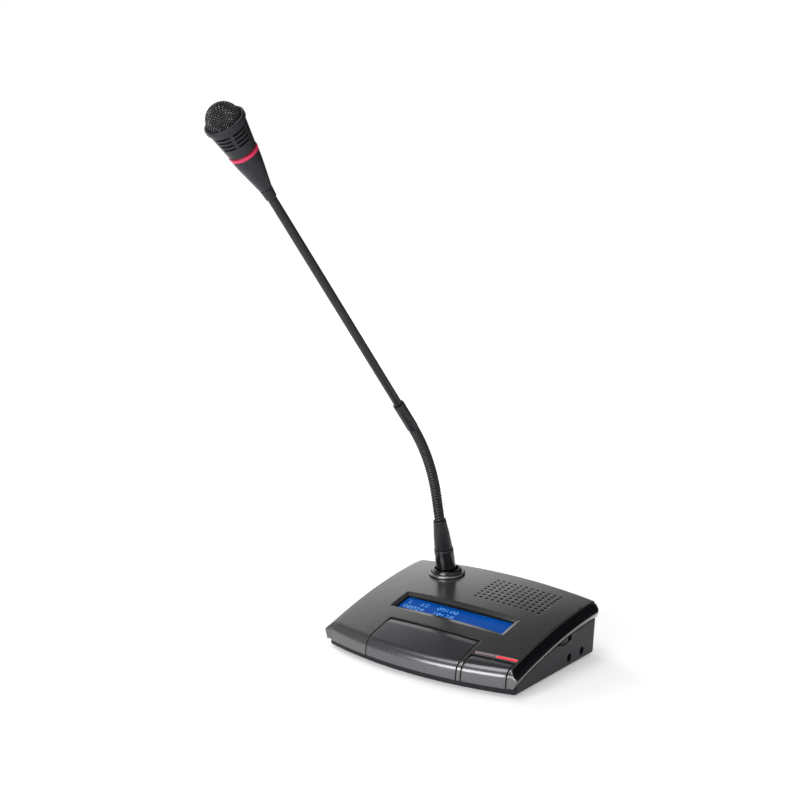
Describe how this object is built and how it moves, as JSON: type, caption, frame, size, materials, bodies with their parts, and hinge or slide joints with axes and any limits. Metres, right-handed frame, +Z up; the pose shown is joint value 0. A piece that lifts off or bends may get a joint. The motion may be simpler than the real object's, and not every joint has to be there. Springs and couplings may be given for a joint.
{
  "type": "conference delegate unit",
  "caption": "Desk conference unit: a low wedge case with speak keys, a text display, a speaker and side sockets, and a gooseneck microphone with a light ring and a ball grille.",
  "frame": {"origin": "the middle of the underside of the non-slip pad, which the unit stands on", "axes": "+X to the right of the seated user, +Y away from the user to the rear of the case, +Z up"},
  "size_m": [0.183, 0.2778, 0.4019],
  "materials": {
    "gunmetal_cover": "semi-gloss metallic grey lacquer on moulded plastic",
    "black_gloss": "polished near-black plastic",
    "dark_case": "fine-textured dark blue-black plastic",
    "key_grey": "satin dark grey plastic",
    "rubber": "matt black rubber",
    "steel": "bright steel",
    "circuit_board": "green solder mask on glass-fibre board",
    "white_plastic": "natural white plastic",
    "clear_lens": "clear polished window",
    "display_blue": "blue backlit dot-matrix panel",
    "light_red": "translucent red light guide",
    "cone_paper": "black paper cone",
    "arm_black": "satin black moulded plastic",
    "arm_metal": "satin black lacquer on metal tube",
    "grille_black": "fine black wire mesh"
  },
  "bodies": {
    "base": {"top_cover": "gunmetal_cover", "side_trim_left": "black_gloss", "side_trim_right": "black_gloss", "bottom_case": "dark_case", "non_slip_pad": "rubber", "case_screw_1": "steel", "case_screw_2": "steel", "case_screw_3": "steel", "case_screw_4": "steel", "key_hinge_rod": "steel", "key_bracket": "dark_case", "key_board": "circuit_board", "speak_switch": "black_gloss", "priority_switch": "black_gloss", "indicator_lens": "light_red", "display_lens": "clear_lens", "lcd_frame": "steel", "lcd_panel": "display_blue", "display_board": "circuit_board", "speaker_frame": "steel", "speaker_cone": "cone_paper", "speaker_magnet": "steel", "main_board": "circuit_board", "side_board": "circuit_board", "headphone_socket_1": "black_gloss", "headphone_socket_2": "black_gloss", "trunk_socket_in": "black_gloss", "trunk_socket_out": "black_gloss", "volume_potentiometer": "black_gloss", "socket_ring": "gunmetal_cover", "socket_collar": "black_gloss", "socket_body": "black_gloss", "gooseneck_sleeve": "black_gloss", "gooseneck_boot": "arm_black", "gooseneck_piece_0": "arm_metal"},
    "speak_key": {"speak_key": "key_grey"},
    "priority_key": {"priority_key": "key_grey"},
    "speak_button": {"speak_switch_button": "white_plastic"},
    "priority_button": {"priority_switch_button": "white_plastic"},
    "volume_wheel": {"volume_wheel": "black_gloss"},
    "gooseneck_1": {"gooseneck_piece_1": "arm_metal"},
    "gooseneck_2": {"gooseneck_piece_2": "arm_metal"},
    "gooseneck_3": {"gooseneck_piece_3": "arm_metal"},
    "gooseneck_4": {"gooseneck_piece_4": "arm_metal"},
    "gooseneck_5": {"gooseneck_piece_5": "arm_metal"},
    "gooseneck_6": {"gooseneck_piece_6": "arm_metal"},
    "gooseneck_7": {"gooseneck_piece_7": "arm_metal"},
    "microphone": {"gooseneck_piece_8": "arm_metal", "gooseneck_coupling": "arm_metal", "boom_rod": "arm_metal", "head_ferrule": "arm_metal", "microphone_cable": "rubber", "head_lower_shell": "arm_black", "light_ring": "light_red", "head_body": "arm_black", "head_collar": "arm_black", "ball_grille": "grille_black", "microphone_capsule": "steel", "capsule_mount": "rubber"}
  },
  "joints": [
    {"name": "speak_key_press", "type": "hinge", "parent": "base", "child": "speak_key", "pos_m": [0, -0.036, 0.0198], "axis": [1, 0, 0], "range_deg": [0, 2.2], "stiffness_Nm_per_rad": 1.2, "springref_deg": -1.72},
    {"name": "priority_key_press", "type": "hinge", "parent": "base", "child": "priority_key", "pos_m": [0.05835, -0.036, 0.0198], "axis": [1, 0, 0], "range_deg": [0, 2.2], "stiffness_Nm_per_rad": 1.2, "springref_deg": -1.72},
    {"name": "speak_button_press", "type": "slide", "parent": "base", "child": "speak_button", "axis": [0, 0, -1], "range_m": [0, 0.00085]},
    {"name": "priority_button_press", "type": "slide", "parent": "base", "child": "priority_button", "axis": [0, 0, -1], "range_m": [0, 0.00085]},
    {"name": "volume_wheel_turn", "type": "hinge", "parent": "base", "child": "volume_wheel", "pos_m": [0.07282, 0.0115, 0.0243], "axis": [0, 0, 1], "range_deg": [-140, 140]},
    {"name": "gooseneck_lean_1", "type": "hinge", "parent": "base", "child": "gooseneck_1", "pos_m": [-0.04414, 0.02824, 0.09687], "axis": [0.9848, -0.1736, 0], "range_deg": [-12, 12]},
    {"name": "gooseneck_swing_1", "type": "hinge", "parent": "gooseneck_1", "child": "gooseneck_2", "pos_m": [-0.04458, 0.0257, 0.10623], "axis": [0.1674, 0.9494, 0.2656], "range_deg": [-12, 12]},
    {"name": "gooseneck_lean_2", "type": "hinge", "parent": "gooseneck_2", "child": "gooseneck_3", "pos_m": [-0.04508, 0.02292, 0.1155], "axis": [0.9848, -0.1736, 0], "range_deg": [-12, 12]},
    {"name": "gooseneck_swing_2", "type": "hinge", "parent": "gooseneck_3", "child": "gooseneck_4", "pos_m": [-0.04567, 0.01955, 0.12458], "axis": [0.1604, 0.9099, 0.3826], "range_deg": [-12, 12]},
    {"name": "gooseneck_lean_3", "type": "hinge", "parent": "gooseneck_4", "child": "gooseneck_5", "pos_m": [-0.04636, 0.01561, 0.13341], "axis": [0.9848, -0.1736, 0], "range_deg": [-12, 12]},
    {"name": "gooseneck_swing_3", "type": "hinge", "parent": "gooseneck_5", "child": "gooseneck_6", "pos_m": [-0.04716, 0.01112, 0.14197], "axis": [0.1505, 0.8537, 0.4984], "range_deg": [-12, 12]},
    {"name": "gooseneck_lean_4", "type": "hinge", "parent": "gooseneck_6", "child": "gooseneck_7", "pos_m": [-0.04804, 0.0061, 0.15022], "axis": [0.9848, -0.1736, 0], "range_deg": [-12, 12]},
    {"name": "gooseneck_swing_4", "type": "hinge", "parent": "gooseneck_7", "child": "microphone", "pos_m": [-0.04902, 0.00056, 0.15812], "axis": [0.1381, 0.7834, 0.606], "range_deg": [-12, 12]}
  ],
  "couplings": [
    {"joint": "speak_button_press", "follows": "speak_key_press", "m_per_rad": 0.021},
    {"joint": "priority_button_press", "follows": "priority_key_press", "m_per_rad": 0.021},
    {"joint": "gooseneck_lean_2", "follows": "gooseneck_lean_1", "ratio": 1},
    {"joint": "gooseneck_swing_2", "follows": "gooseneck_swing_1", "ratio": 1},
    {"joint": "gooseneck_lean_3", "follows": "gooseneck_lean_1", "ratio": 1},
    {"joint": "gooseneck_swing_3", "follows": "gooseneck_swing_1", "ratio": 1},
    {"joint": "gooseneck_lean_4", "follows": "gooseneck_lean_1", "ratio": 1},
    {"joint": "gooseneck_swing_4", "follows": "gooseneck_swing_1", "ratio": 1}
  ]
}
